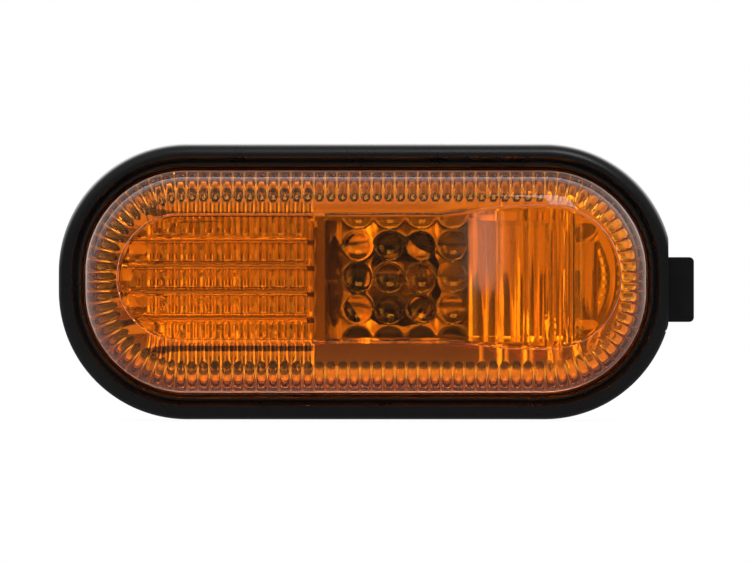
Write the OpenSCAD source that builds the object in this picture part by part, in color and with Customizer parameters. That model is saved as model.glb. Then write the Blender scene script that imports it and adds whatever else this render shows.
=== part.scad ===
/* [Outline] */
// Length over the trim ring
ring_l = 80; // [74:0.5:92]
// Height over the trim ring
ring_h = 35.9; // [34.5:0.1:40]
// Straight part of each end, between its two round corners
end_flat = 2.5; // [1:0.1:4]
// Width of the trim ring seen from the front
ring_w = 3; // [2.7:0.1:3.4]
// Height of the trim ring over the wing panel
ring_rise = 5.6; // [5.2:0.1:6.6]

/* [Lens] */
// Height of the window face over the wing panel
dome_rise = 10.2; // [9.6:0.1:11.5]
// Thickness of the lens at its window
window_t = 2.9; // [2.4:0.1:3.4]
// Thickness of the lens side wall at its foot
lens_wall = 1.4; // [1.2:0.1:1.8]
// Radius of the rounded shoulder round the window
shoulder_r = 5.5; // [4.5:0.1:6]
// Half height of the narrow part of the window
window_half = 8.35; // [7.6:0.05:8.6]
// Half height of the wide part of the window
lobe_half = 9.4; // [8.8:0.05:9.6]
// Pitch of the flutes on the side wall
flute_pitch = 1.5; // [1.3:0.05:1.9]
// Width of one flute
flute_w = 1; // [0.7:0.05:1.1]
// Width of a rectangular pillow
pillow_w = 2.3; // [2:0.05:2.8]
// Height of a rectangular pillow
pillow_h = 3.4; // [2.6:0.1:3.6]
// Pitch of the round pillows
round_pitch = 4.1; // [3.6:0.1:4.2]
// Height of every pillow and rib over the back of the window
optic_rise = 0.55; // [0.35:0.05:0.7]

/* [Housing] */
// Depth of the tub behind the wing panel
tub_depth = 16; // [15:0.5:20]
// Thickness of the tub walls
wall = 1.8; // [1.5:0.1:2]
// Thickness of the compressed panel gasket
gasket_t = 0.8; // [0.6:0.1:1.2]
// Thickness of the flange that carries lens and ring
flange_t = 1.8; // [1.6:0.1:2.2]
// Height of the locating tongue
tongue_h = 8.5; // [7:0.5:10]
// Length of the tongue past the trim ring
tongue_reach = 2.95; // [2:0.05:4]
// Thickness of the tongue
tongue_t = 1.8; // [1.5:0.1:2.2]
// Thickness of the wing panel that the lamp fits
panel_t = 0.8; // [0.7:0.1:1.2]

/* [Bulb and holder] */
// Place of the bulb axis along the lamp
bulb_x = 4.1; // [2:0.1:6]
// Diameter of the bulb glass
bulb_d = 10; // [9.4:0.1:10.2]
// Height of the bulb tip over the wing panel
bulb_tip = 2.5; // [1.5:0.1:3.5]
// Diameter of the hole in the tub floor for the holder
bore_d = 14; // [13.8:0.1:14.4]
// Gap between the holder and its hole
turn_gap = 0.3; // [0.2:0.05:0.4]
// Turn from locked to free, in degrees
turn_free = 40; // [35:1:45]
// Thickness of the holder seal
seal_t = 1.4; // [1.2:0.1:2]
// Depth of the open connector shroud
shroud_depth = 12; // [11.5:0.5:14]

/* [Spring clip] */
// Width of the spring clip
clip_w = 8; // [6:0.5:10]
// Thickness of the spring strip
clip_t = 0.5; // [0.4:0.05:0.7]

/* [Hidden] */
$fn = 64;
eps = 0.01;
fit = 0.05;

// The oval is a rectangle with round corners: an inset moves every edge inward
// and keeps the corner centres where they are.
end_r = (ring_h - end_flat) / 2;
core_x = ring_l / 2 - end_r;
core_y = end_flat / 2;

// Sections swept round the oval stop here, and a plate fills the rest
hub_r = 2;
hub_in = end_r - hub_r;

// Insets from the outer edge of the ring
flange_in = 1.5;
lens_gap = 0.2;
rim_in = ring_w + lens_gap;
rim_w = 0.6;
dome_in = rim_in + rim_w;
foot_in = dome_in + lens_wall;
face_in = 7.8;
tub_in = 7.4;
gasket_in = 0.5;

// Heights over the panel, forward is up
flange_top = gasket_t + flange_t;
groove_floor = flange_top - 1;
rim_top = flange_top + 1;
face_back = dome_rise - window_t;
flute_foot = rim_top - 0.4;

// Rounded shoulder of the lens: a small arc tangent to the side wall and to a large crown arc
crown_r = 100;
shoulder_x = end_r - dome_in - shoulder_r;
shoulder_z = dome_rise - crown_r + sqrt(pow(crown_r - shoulder_r, 2) - pow(shoulder_x, 2));
shoulder_a = atan2(shoulder_z - dome_rise + crown_r, shoulder_x);

// Window outline, a keyhole that lies a little above the middle of the ring
window_y = 0.55;
window_left = -32.3 + (80 - ring_l) / 2;
window_right = 33.2 - (80 - ring_l) / 2;
lobe_from = 8;
lobe_to = 21;
window_steps = 12;

// Optics on the back of the window
grid_cols = 11;
grid_rows = 5;
grid_right = -7.6;
grid_y = 0.35;
groove = 0.12;
round_cols = 4;
round_rows = 5;
round_x = bulb_x + 1;
rib_widths = [3.6, 3.5, 2.8, 2.4, 1.5, 3];
bar_w = 0.9;
ribs_left = 13.3;

// Tub and floor
tub_draft = 0.4;
floor_t = 2;
floor_top = -tub_depth + floor_t;
tub_bend = 1.6;
tongue_y = -1.05;
tongue_face = -panel_t - 0.3;
tub_end = core_x + end_r - tub_in;

// Bulb holder and bulb
holder_r = bore_d / 2 - turn_gap;
lug_r = holder_r + 1.4;
lug_gap = 0.1;
lug_t = 1.5;
lug_angle = 36;
lug_places = [90, 210, 330];
holder_front = floor_top + lug_gap + lug_t + 0.3;
seal_back = -tub_depth - lug_gap - seal_t;
seal_w = 2.5;
holder_flange_r = holder_r + seal_w + 0.5;
holder_flange_t = 2;
ear_r = holder_flange_r + 1.9;
ear_angle = 22;
ear_place = 180 + turn_free / 2;
ear_stop_w = 2;
bulb_len = 26;
pinch_l = 7;
pinch_w = 8.6;
pinch_t = 2.4;
filament_under = 7.5;
glass_t = 0.8;
pinch_top = bulb_tip - bulb_len + pinch_l;
pinch_foot = pinch_top - pinch_l;
lead_r = 0.25;
lead_x = 2.3;
filament_z = bulb_tip - filament_under;
shroud_w = 12.6;
shroud_h = 9.2;
shroud_wall = 1.3;
latch_w = 4;
latch_h = 1.1;
web_t = 1.6;
leaf_t = 0.4;
web_top = pinch_foot - 2 * lead_r - leaf_t - 0.15;
shroud_floor = web_top - web_t;
shroud_mouth = shroud_floor - shroud_depth;
leaf_y = pinch_t / 2 + 2 * lead_r + 0.1;
blade_w = 2.8;
blade_t = 0.8;
blade_l = 7;
filament_r = 4;
filament_coil = 0.25;
filament_drop = sqrt(filament_r * filament_r - lead_x * lead_x);

// Trim ring details
ring_shoulder = 1.5;
ring_lip = 0.38;
ring_lip_drop = 1.1;
end_cut = 0.6;
end_cut_h = 12.4;
end_cut_low = 5.45;
end_cut_y = tongue_y - end_cut_low;
end_nick = 0.45;

// Lens details
foot_left = rim_in + 0.4;
crown_x = crown_r * cos(shoulder_a);
optic_seat = 0.4;
inner_round_w = 1.5;
inner_round_z = face_back - 2.9;
flute_depth = 0.55;
flute_short = 0.9;
function crown_height(x) = dome_rise - crown_r + sqrt(crown_r * crown_r - x * x);

// Tongue, clip and reflector details
tongue_len = ring_l / 2 + tongue_reach - tub_end + wall;
tongue_round = 0.6;
gusset_w = 1;
gusset_h = 7;
clip_seat_t = 1.4;
clip_rail_w = 1.2;
clip_bend = -tub_depth + 10;
clip_stand = 3.4;
clip_reach = tub_end + clip_stand;
clip_under = panel_t + 0.5;
clip_barb = 0.5;
clip_tip = 0.3;
peg_places = [-21, 25];
peg_d = 3;
peg_l = 4;
peg_room = 0.3;
refl_in = foot_in + flute_depth + 0.3;
refl_t = 1;
refl_floor = -5;
refl_floor_in = 10.8;
refl_flute_end = 5;
refl_flute_gap = 0.06;
refl_flute_h = 0.5;
fine_flute_pitch = 1.08;
wide_flute_pitch = 3.3;
refl_rim_in = tub_in + wall + 0.9;
refl_bridge = 1.3;
peg_seat = refl_floor - refl_t;
well_w = 18.9;
trough_in = tub_in + wall + tub_draft + 0.3;
bulb_room = 1;
stop_h = 4;
ear_stop_a = ear_angle / 2 + 7;

function arc(c, r, a0, a1, n) =
    [for (i = [0:n]) let (a = a0 + (a1 - a0) * i / n) c + r * [cos(a), sin(a)]];
function ease(t) = let (k = min(1, max(0, t))) k * k * (3 - 2 * k);

// Side of a bent strip: the path moved sideways by half the strip
function strip_dir(p, i) =
    let (a = p[max(0, i - 1)], b = p[min(len(p) - 1, i + 1)]) (b - a) / norm(b - a);
function strip_side(p, t) =
    [for (i = [0:len(p) - 1]) let (d = strip_dir(p, i)) p[i] + t / 2 * [-d[1], d[0]]];
function reversed(p) = [for (i = [len(p) - 1:-1:0]) p[i]];
function strip(p, t) = concat(strip_side(p, t), reversed(strip_side(p, -t)));

// Upper half of the window outline at a place along the lamp
function window_top(x) =
    window_half + (lobe_half - window_half) * ease((x - lobe_from) / (lobe_to - lobe_from));
function window_upper(inset) = concat(
    arc([window_left + window_half, 0], window_half - inset, 180, 90, window_steps),
    [for (i = [0:window_steps]) let (x = lobe_from + (lobe_to - lobe_from) * i / window_steps)
        [x, window_top(x) - inset]],
    arc([window_right - lobe_half, 0], lobe_half - inset, 90, 0, window_steps)
);
function window_outline(inset) = concat(
    window_upper(inset),
    [for (p = reversed(window_upper(inset))) if (p[1] > eps) [p[0], -p[1]]]
);

// Places of the flutes: each is a point on the line of corner centres and a direction outward
flutes_long = round(2 * core_x / flute_pitch);
flutes_end = max(1, round(2 * core_y / flute_pitch));
flutes_corner = round(PI / 2 * (end_r - foot_in) / flute_pitch);
corner_signs = [[1, 1], [-1, 1], [-1, -1], [1, -1]];
function corner_centre(q) = [corner_signs[q % 4][0] * core_x, corner_signs[q % 4][1] * core_y];
flute_frames = [for (q = [0:3]) each concat(
    [for (i = [0:flutes_corner - 1]) [corner_centre(q), (q + (i + 0.5) / flutes_corner) * 90]],
    let (n = q % 2 == 0 ? flutes_long : flutes_end) [for (i = [0:n - 1]) let (k = (i + 0.5) / n)
        [corner_centre(q) * (1 - k) + corner_centre(q + 1) * k, q * 90 + 90]]
)];
function flute_reach(x) =
    flute_short + (face_in - foot_in - flute_short) * (1 - ease((x - core_x - 1) / (end_r / 2)));

module car_frame() rotate([90, 0, 0]) children();

module oval(inset) {
    r = end_r - inset;
    square([2 * core_x, 2 * (core_y + r)], center = true);
    square([2 * (core_x + r), 2 * core_y], center = true);
    for (sx = [-1, 1], sy = [-1, 1]) translate([sx * core_x, sy * core_y]) circle(r = r);
}

module oval_plate(inset, from, to) translate([0, 0, from]) linear_extrude(to - from) oval(inset);

// Sweeps a section, drawn as inset and height, round the oval
module edge_sweep() {
    for (sx = [0, 1], sy = [0, 1]) mirror([sx, 0, 0]) mirror([0, sy, 0])
        translate([core_x, core_y, 0]) rotate_extrude(angle = 90) edge_section() children();
    for (sy = [0, 1]) mirror([0, sy, 0]) translate([-core_x, core_y, 0])
        rotate([90, 0, 90]) linear_extrude(2 * core_x) edge_section() children();
    for (sx = [0, 1]) mirror([sx, 0, 0]) translate([core_x, core_y, 0])
        rotate([90, 0, 0]) linear_extrude(2 * core_y) edge_section() children();
}

module edge_section() translate([end_r, 0]) mirror([1, 0]) children();

// Fills the middle that the sections leave open
module core_plate(from, to) oval_plate(hub_in, from, to);

module window_plate(inset, from, to) translate([0, window_y, from]) linear_extrude(to - from)
    polygon(window_outline(inset));

// Black surround: rounded shoulder, groove and inner lip over the edge of the housing flange
module trim_ring() color([0.09, 0.09, 0.09]) car_frame() difference() {
    edge_sweep() polygon(concat(
        [[0, gasket_t]],
        arc([ring_shoulder, ring_rise - ring_shoulder], ring_shoulder, 180, 80, 10),
        [[ring_w - 2 * ring_lip, ring_rise - ring_lip_drop - ring_lip / 2]],
        arc([ring_w - ring_lip, ring_rise - ring_lip_drop - ring_lip], ring_lip, 145, 0, 6),
        [[ring_w, flange_top], [flange_in - fit, flange_top], [flange_in - fit, gasket_t]]
    ));
    translate([ring_l / 2 - end_cut, end_cut_y, -1]) linear_extrude(2 * ring_rise) polygon([
        [0, end_cut_h], [ring_w, end_cut_h], [ring_w, -2 * end_nick], [-end_nick, 0], [0, end_nick]
    ]);
}

module panel_gasket() color([0.16, 0.16, 0.17]) car_frame() difference() {
    oval_plate(gasket_in, 0, gasket_t);
    oval_plate(tub_in - 0.2, -1, gasket_t + 1);
}

// Section of the lens: foot, rim, side wall, rounded shoulder and crown
module lens_section() polygon(concat(
    [[hub_in, groove_floor], [foot_left, groove_floor], [foot_left, flange_top], [rim_in, flange_top]],
    [[rim_in, rim_top], [dome_in, rim_top]],
    [for (p = arc([shoulder_x, shoulder_z], shoulder_r, 0, shoulder_a, 10)) [end_r - p[0], p[1]]],
    [for (i = [1:3]) let (x = hub_r + (crown_x - hub_r) * (3 - i) / 3) [end_r - x, crown_height(x)]]
));

// Inner shoulder: quarter of an ellipse from the wall to the back of the window, in equal turns
function inner_round(w, n) =
    [for (i = [0:n]) let (a = 90 * i / n) [-w * cos(a), (face_back - inner_round_z) * sin(a)]];

// Hollow of the lens, open at the foot
module lens_hollow() {
    edge_sweep() polygon(concat(
        [[foot_in, groove_floor - 1]],
        [for (p = inner_round(inner_round_w, 4)) [foot_in + inner_round_w + p[0], inner_round_z + p[1]]],
        [[hub_in, face_back], [hub_in, groove_floor - 1]]
    ));
    core_plate(groove_floor - 1, face_back);
}

// Flutes of the side wall: fins that follow the inner shoulder, shorter at the right end
module flutes() for (f = flute_frames) {
    reach = end_r - foot_in;
    long = flute_reach(f[0][0] + reach * cos(f[1]));
    translate([f[0][0], f[0][1], 0]) rotate([0, 0, f[1]]) translate([reach - long, flute_w / 2, 0])
        rotate([90, 0, 0]) linear_extrude(flute_w) polygon(concat(
            [[long, face_back + optic_seat], [0, face_back + optic_seat]],
            [for (p = reversed(inner_round(long - flute_depth, 3))) [-p[0], inner_round_z + p[1]]],
            [[long - flute_depth, flute_foot], [long + optic_seat, flute_foot]],
            [[long + optic_seat, face_back - optic_seat]]
        ));
}

// One cell of the grid: a ball cap cut square, with a narrow groove round it
module square_pillow(w, h) {
    half = norm([w, h]) / 2;
    ball_r = (half * half + optic_rise * optic_rise) / (2 * optic_rise);
    intersection() {
        translate([0, 0, -optic_rise + ball_r]) sphere(r = ball_r);
        translate([-w / 2 + groove / 2, -h / 2 + groove / 2, -optic_rise])
            cube([w - groove, h - groove, optic_rise + optic_seat]);
    }
}

module round_pillow(r) {
    ball_r = (r * r + optic_rise * optic_rise) / (2 * optic_rise);
    intersection() {
        translate([0, 0, -optic_rise + ball_r]) sphere(r = ball_r);
        translate([0, 0, -optic_rise]) cylinder(r = r, h = optic_rise + optic_seat);
    }
}

module upright_rib(w, h) {
    half = (w - groove) / 2;
    rib_r = (half * half + optic_rise * optic_rise) / (2 * optic_rise);
    intersection() {
        translate([0, h / 2, -optic_rise + rib_r]) rotate([90, 0, 0]) cylinder(r = rib_r, h = h);
        translate([-half, -h / 2, -optic_rise]) cube([2 * half, h, optic_rise + optic_seat]);
    }
}

function rib_at(i) = i == 0 ? 0 : rib_widths[i - 1] + rib_at(i - 1);

module optics() intersection() {
    window_plate(0.5, face_back - 2 * optic_rise, face_back + optic_seat);
    translate([0, 0, face_back]) union() {
        for (i = [0:grid_cols - 1], j = [0:grid_rows - 1])
            translate([grid_right - (i + 0.5) * pillow_w, grid_y + (j - (grid_rows - 1) / 2) * pillow_h, 0])
                square_pillow(pillow_w, pillow_h);
        for (i = [0:round_cols - 1], j = [0:round_rows - 1])
            translate([
                round_x + (i - (round_cols - 1) / 2) * round_pitch,
                window_y + (j - (round_rows - 1) / 2) * round_pitch, 0
            ]) round_pillow(round_pitch / 2 - groove);
        for (i = [0:len(rib_widths) - 1])
            translate([ribs_left + rib_at(i) + rib_widths[i] / 2, 0, 0])
                upright_rib(rib_widths[i], ring_h);
        translate([grid_right + groove, -ring_h / 2, -optic_rise])
            cube([bar_w, ring_h, optic_rise + optic_seat]);
    }
}

module lens() color([0.95, 0.45, 0.05, 0.8]) car_frame() {
    difference() {
        union() {
            edge_sweep() lens_section();
            core_plate(groove_floor, crown_height(hub_r));
            window_plate(0, dome_rise - 1.5, dome_rise);
        }
        lens_hollow();
    }
    optics();
    flutes();
}

// Tub with its flange: weld groove for the lens foot, floor with the hole for the bulb holder
module tub_section() polygon([
    [flange_in, gasket_t], [flange_in, flange_top],
    [foot_left - fit, flange_top], [foot_left - fit, groove_floor],
    [foot_in + fit, groove_floor], [foot_in + fit, flange_top],
    [tub_in + wall, flange_top], [tub_in + wall + tub_draft, floor_top],
    [hub_in, floor_top], [hub_in, -tub_depth],
    [tub_in + tub_draft + tub_bend, -tub_depth], [tub_in + tub_draft, -tub_depth + tub_bend],
    [tub_in, gasket_t]
]);

module sector(r, a, width) rotate([0, 0, a]) intersection() {
    circle(r = r);
    polygon([
        [0, 0], 2 * r * [cos(width / 2), -sin(width / 2)], 2 * r * [1, 0],
        2 * r * [cos(width / 2), sin(width / 2)]
    ]);
}

module tongue() {
    translate([tub_end - wall, tongue_y - tongue_h / 2, tongue_face - tongue_t])
        linear_extrude(tongue_t) polygon(concat(
            [[0, 0]],
            arc([tongue_len - tongue_round, tongue_round], tongue_round, -90, 0, 4),
            arc([tongue_len - tongue_round, tongue_h - tongue_round], tongue_round, 0, 90, 4),
            [[0, tongue_h]]
        ));
    for (sy = [-1, 1]) translate([
        tub_end - wall + fit, tongue_y + sy * (tongue_h - gusset_w) / 2 + gusset_w / 2,
        tongue_face - tongue_t / 2
    ]) rotate([90, 0, 0]) linear_extrude(gusset_w) polygon([
        [0, 0], [tongue_len - 3 * gusset_w, 0], [tongue_len - 3 * gusset_w, -tongue_t / 2],
        [wall, -gusset_h], [0, -gusset_h]
    ]);
}

module clip_seat() for (sy = [-1, 1])
    translate([
        -tub_end - clip_seat_t, sy * (clip_w / 2 + 0.1 + (sy < 0 ? clip_rail_w : 0)), -tub_depth + tub_bend
    ]) cube([clip_seat_t + wall + 0.2, clip_rail_w, tub_depth - tub_bend + clip_bend + 0.6]);

module housing() color([0.07, 0.07, 0.07]) car_frame() difference() {
    union() {
        edge_sweep() tub_section();
        core_plate(-tub_depth, floor_top);
        tongue();
        clip_seat();
        for (x = peg_places) translate([x, 0, floor_top - eps])
            cylinder(d = peg_d + 2.4, h = peg_seat - floor_top);
        for (a = [ear_stop_a, -ear_stop_a - turn_free]) translate([bulb_x, 0, -tub_depth - stop_h])
            rotate([0, 0, ear_place + a]) translate([holder_flange_r + turn_gap, -ear_stop_w / 2, 0])
                cube([ear_r - holder_flange_r + 0.5, ear_stop_w, stop_h + eps]);
    }
    for (x = peg_places) translate([x, 0, peg_seat - peg_l])
        cylinder(d = peg_d + 2 * fit, h = peg_l + 1);
    translate([bulb_x, 0, -tub_depth - 1]) cylinder(d = bore_d, h = floor_t + 2);
    for (a = lug_places) translate([bulb_x, 0, -tub_depth - 1]) linear_extrude(floor_t + 2)
        sector(lug_r + 0.2, a - turn_free, lug_angle + 4);
}

// Section of the bright insert: rim on the flange, sloping sides and floor
module reflector_section() polygon([
    [refl_in, flange_top], [refl_in, flange_top + refl_t], [refl_rim_in, flange_top + refl_t],
    [refl_floor_in, refl_floor], [hub_in, refl_floor], [hub_in, refl_floor - refl_t],
    [refl_floor_in - 0.2, refl_floor - refl_t], [tub_in + wall + 0.3, flange_top]
]);

// Row of low round flutes that stand upright in the car
module upright_flutes(from, to, pitch, level) {
    half = (pitch - refl_flute_gap) / 2;
    r = (half * half + refl_flute_h * refl_flute_h) / (2 * refl_flute_h);
    for (x = [from:pitch:to - pitch]) translate([x + pitch / 2, ring_h / 2, level + refl_flute_h - r])
        rotate([90, 0, 0]) cylinder(r = r, h = ring_h);
}

// Fine flutes left of the trough and wide ones right of it
module reflector_flutes(level) {
    upright_flutes(-core_x - refl_flute_end, bulb_x - well_w / 2 - refl_t, fine_flute_pitch, level);
    upright_flutes(bulb_x + well_w / 2 + refl_t, core_x + refl_flute_end, wide_flute_pitch, level);
}

// Upright trough round the bulb: side walls and a curved back, cored from behind
module trough_curve(r) translate([bulb_x, ring_h / 2, refl_floor + well_w / 2]) rotate([90, 0, 0])
    cylinder(r = r, h = ring_h);

module trough_block(w, y_in, from, to) translate([bulb_x - w / 2, -ring_h / 2 + y_in, from])
    cube([w, ring_h - 2 * y_in, to - from]);

module bulb_trough() difference() {
    trough_block(well_w + 2 * refl_t, trough_in, refl_floor - refl_t, flange_top + refl_t);
    trough_curve(well_w / 2);
    difference() {
        trough_block(well_w, 0, refl_floor - 2 * refl_t, flange_top);
        trough_curve(well_w / 2 + refl_t);
    }
    translate([bulb_x, 0, -tub_depth]) cylinder(d = bulb_d + 2 * bulb_room, h = tub_depth);
}

// Bright insert with its flutes and the trough for the bulb
module reflector() color([0.85, 0.85, 0.83]) car_frame() {
    difference() {
        union() {
            edge_sweep() reflector_section();
            core_plate(refl_floor - refl_t, refl_floor);
            intersection() {
                reflector_flutes(refl_floor);
                oval_plate(refl_floor_in - 0.1, refl_floor - refl_t / 2, refl_floor + refl_t);
            }
            intersection() {
                reflector_flutes(flange_top + refl_t);
                difference() {
                    oval_plate(refl_in + 0.1, flange_top + refl_t / 2, flange_top + 2 * refl_t);
                    oval_plate(refl_rim_in - 0.05, flange_top, flange_top + 3 * refl_t);
                }
            }
        }
        trough_block(well_w, refl_in + refl_bridge, -tub_depth, tub_depth);
    }
    bulb_trough();
    for (x = peg_places) translate([x, 0, peg_seat - peg_l + peg_room])
        cylinder(d = peg_d, h = refl_floor - refl_t / 2 - peg_seat + peg_l - peg_room);
}

module spring_clip() color([0.7, 0.71, 0.72]) car_frame()
    translate([0, clip_w / 2, 0]) rotate([90, 0, 0]) linear_extrude(clip_w) polygon(strip([
        [-tub_end - clip_t / 2 - fit, -tub_depth + tub_bend + 0.5],
        [-tub_end - clip_t / 2 - fit, clip_bend],
        [-tub_end - clip_t / 2 - clip_barb, clip_bend + 2 * clip_barb],
        [-clip_reach, -clip_under - clip_barb],
        [-clip_reach + clip_tip, -clip_under],
        [-tub_end - 3 * clip_tip, -clip_t / 2]
    ], clip_t));

module bulb_axis() car_frame() translate([bulb_x, 0, 0]) children();

// Quarter turn holder with the connector shroud in one moulding
module bulb_holder() color([0.13, 0.13, 0.14]) bulb_axis() difference() {
    union() {
        translate([0, 0, shroud_floor + eps]) cylinder(r = holder_r, h = holder_front - shroud_floor);
        translate([0, 0, seal_back - holder_flange_t])
            cylinder(r = holder_flange_r, h = holder_flange_t);
        translate([0, 0, floor_top + lug_gap]) linear_extrude(lug_t)
            for (a = lug_places) sector(lug_r, a, lug_angle);
        translate([0, 0, seal_back - holder_flange_t]) linear_extrude(holder_flange_t)
            sector(ear_r, ear_place, ear_angle);
        for (s = [-1, 1]) translate([s > 0 ? holder_r - 1 : -holder_flange_r, -1.3, shroud_floor + 1])
            cube([holder_flange_r - holder_r + 1, 2.6, seal_back - holder_flange_t - shroud_floor - 1 + eps]);
        translate([-shroud_w / 2, -shroud_h / 2, shroud_mouth])
            cube([shroud_w, shroud_h, shroud_floor - shroud_mouth + 3]);
        translate([-latch_w / 2, shroud_h / 2 - eps, shroud_mouth + 2]) rotate([90, 0, 90])
            linear_extrude(latch_w) polygon([[0, 0], [latch_h, 2.4], [latch_h, 3], [0, 3]]);
    }
    translate([-shroud_w / 2 + shroud_wall, -shroud_h / 2 + shroud_wall, shroud_mouth - 1])
        cube([shroud_w - 2 * shroud_wall, shroud_h - 2 * shroud_wall, shroud_depth + 1]);
    translate([0, 0, pinch_top]) cylinder(r = bulb_d / 2 + 0.15, h = tub_depth);
    translate([-pinch_w / 2 - 0.1, -pinch_t / 2 - 0.1, web_top])
        cube([pinch_w + 0.2, pinch_t + 0.2, tub_depth]);
    for (s = [0, 180]) rotate([0, 0, s]) translate([-lead_x - blade_w / 2 - 0.1, 0, web_top])
        cube([blade_w + 0.2, leaf_y + leaf_t + 0.1, tub_depth]);
    for (s = [-1, 1]) translate([s * lead_x - blade_w / 2 - fit, -blade_t / 2 - fit, shroud_floor - 1])
        cube([blade_w + 2 * fit, blade_t + 2 * fit, web_t + 2]);
}

module holder_seal() color([0.12, 0.1, 0.1]) bulb_axis() translate([0, 0, seal_back]) difference() {
    cylinder(r = holder_r + seal_w, h = seal_t);
    translate([0, 0, -1]) cylinder(r = holder_r, h = seal_t + 2);
}

// Blade and contact leaf of one terminal, drawn from the side
module terminal() translate([-lead_x - blade_w / 2, 0, 0]) rotate([90, 0, 90])
    linear_extrude(blade_w) polygon([
    [-blade_t / 2, shroud_floor - blade_l], [blade_t / 2, shroud_floor - blade_l],
    [blade_t / 2, web_top + 0.05], [leaf_y + leaf_t, web_top + 0.05],
    [leaf_y + leaf_t, pinch_top - 0.6], [leaf_y, pinch_top - 0.6],
    [leaf_y, web_top + 0.05 + leaf_t], [-blade_t / 2, web_top + 0.05 + leaf_t]
]);

module terminal_left() color([0.8, 0.66, 0.35]) bulb_axis() terminal();
module terminal_right() color([0.8, 0.66, 0.35]) bulb_axis() rotate([0, 0, 180]) terminal();

// Glass envelope with its flat pinch; two fine bores carry the lead wires
module bulb_glass() color([0.9, 0.95, 1, 0.4]) bulb_axis() difference() {
    union() {
        rotate_extrude() envelope(0, pinch_top);
        translate([-pinch_w / 2, -pinch_t / 2, pinch_foot]) cube([pinch_w, pinch_t, pinch_l + 1]);
    }
    rotate_extrude() envelope(glass_t, pinch_top + 1.2);
    for (s = [-1, 1]) translate([s * lead_x, 0, pinch_foot - 1])
        cylinder(r = lead_r + 0.02, h = pinch_l + 3);
}

module envelope(inset, foot) {
    r = bulb_d / 2 - inset;
    square_top = bulb_tip - bulb_d / 2;
    translate([0, foot]) square([r, square_top - foot]);
    intersection() {
        translate([0, square_top]) circle(r = r);
        translate([0, square_top]) square(bulb_d);
    }
}

module lead_wire() {
    translate([-lead_x, 0, pinch_foot - lead_r]) cylinder(r = lead_r, h = filament_z - pinch_foot + lead_r);
    translate([-lead_x, 0, pinch_foot - lead_r]) sphere(r = lead_r);
    translate([-lead_x, 0, pinch_foot - lead_r]) rotate([-90, 0, 0])
        cylinder(r = lead_r, h = pinch_t / 2 + lead_r + 0.02);
    translate([-lead_x, pinch_t / 2 + lead_r + 0.02, pinch_foot - lead_r]) sphere(r = lead_r);
    translate([-lead_x, pinch_t / 2 + lead_r + 0.02, pinch_foot - lead_r]) cylinder(r = lead_r, h = 4);
}

module lead_wire_left() color([0.6, 0.58, 0.55]) bulb_axis() lead_wire();
module lead_wire_right() color([0.6, 0.58, 0.55]) bulb_axis() rotate([0, 0, 180]) lead_wire();

module filament() color([0.5, 0.5, 0.52]) bulb_axis() intersection() {
    translate([0, 0, filament_z - filament_drop]) rotate([90, 0, 0]) rotate_extrude()
        translate([filament_r, 0]) circle(r = filament_coil);
    translate([-lead_x + lead_r, -1, filament_z - 2]) cube([2 * (lead_x - lead_r), 2, 4]);
}

trim_ring();
lens();
housing();
reflector();
panel_gasket();
spring_clip();
bulb_glass();
lead_wire_left();
lead_wire_right();
filament();
bulb_holder();
holder_seal();
terminal_left();
terminal_right();
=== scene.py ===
import math

import bmesh
import bpy
from mathutils import Matrix, Vector


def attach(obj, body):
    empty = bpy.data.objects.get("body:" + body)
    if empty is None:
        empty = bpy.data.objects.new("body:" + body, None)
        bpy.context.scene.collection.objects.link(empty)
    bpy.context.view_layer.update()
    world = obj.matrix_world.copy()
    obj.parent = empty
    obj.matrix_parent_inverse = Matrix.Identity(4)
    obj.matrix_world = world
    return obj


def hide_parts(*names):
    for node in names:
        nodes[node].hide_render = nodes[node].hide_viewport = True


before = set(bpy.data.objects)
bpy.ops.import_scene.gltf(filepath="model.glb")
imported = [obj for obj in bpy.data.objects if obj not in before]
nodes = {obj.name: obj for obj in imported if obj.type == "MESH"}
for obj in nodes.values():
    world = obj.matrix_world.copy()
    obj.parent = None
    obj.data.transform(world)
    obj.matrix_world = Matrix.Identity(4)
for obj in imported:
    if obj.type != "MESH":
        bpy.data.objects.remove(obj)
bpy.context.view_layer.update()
print("frame loaded:", len(nodes), "nodes")

# Pieces are drawn in millimetres lying on their back: x along the lamp, y up the door, z out of the panel.
# toLamp stands them up in the frame, front towards -Y.
toLamp = Matrix.Scale(0.001, 4) @ Matrix.Rotation(math.radians(90), 4, "X")

# The oval that everything follows: corner radius, corner centres and the top of the housing's flange.
# Insets are counted inward from the ring's edge.
oval = {"cornerR": 16.7, "centreX": 23.3, "centreY": 1.25, "flangeTop": 2.6}
paneArea = 0.000008  # square metres: a face larger than this is shaded flat


def standUp(name, bm, material, body, sharpAngle=32, replaces=()):
    bmesh.ops.transform(bm, matrix=toLamp, verts=bm.verts)
    mesh = bpy.data.meshes.new(name)
    bm.to_mesh(mesh)
    bm.free()
    mesh.shade_smooth()
    mesh.set_sharp_from_angle(angle=math.radians(sharpAngle))
    # wide flat faces keep their own normal, so that they mirror like a pane
    for face in mesh.polygons:
        if face.area > paneArea:
            face.use_smooth = False
    piece = bpy.data.objects.new(name, mesh)
    bpy.context.scene.collection.objects.link(piece)
    mesh.materials.append(material)
    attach(piece, body)
    if replaces:
        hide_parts(*replaces)
    print("piece", name, len(mesh.polygons), "faces")
    return piece


def drawLine(bm, points, closed=True):
    verts = [bm.verts.new(p) for p in points]
    edges = [bm.edges.new((a, b)) for a, b in zip(verts, verts[1:])]
    if closed:
        edges.append(bm.edges.new((verts[-1], verts[0])))
    return verts, edges


def arcPoints(cx, cy, r, fromDeg, toDeg, steps):
    angles = [math.radians(fromDeg + (toDeg - fromDeg) * i / steps) for i in range(steps + 1)]
    return [(cx + r * math.cos(a), cy + r * math.sin(a)) for a in angles]


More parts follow.
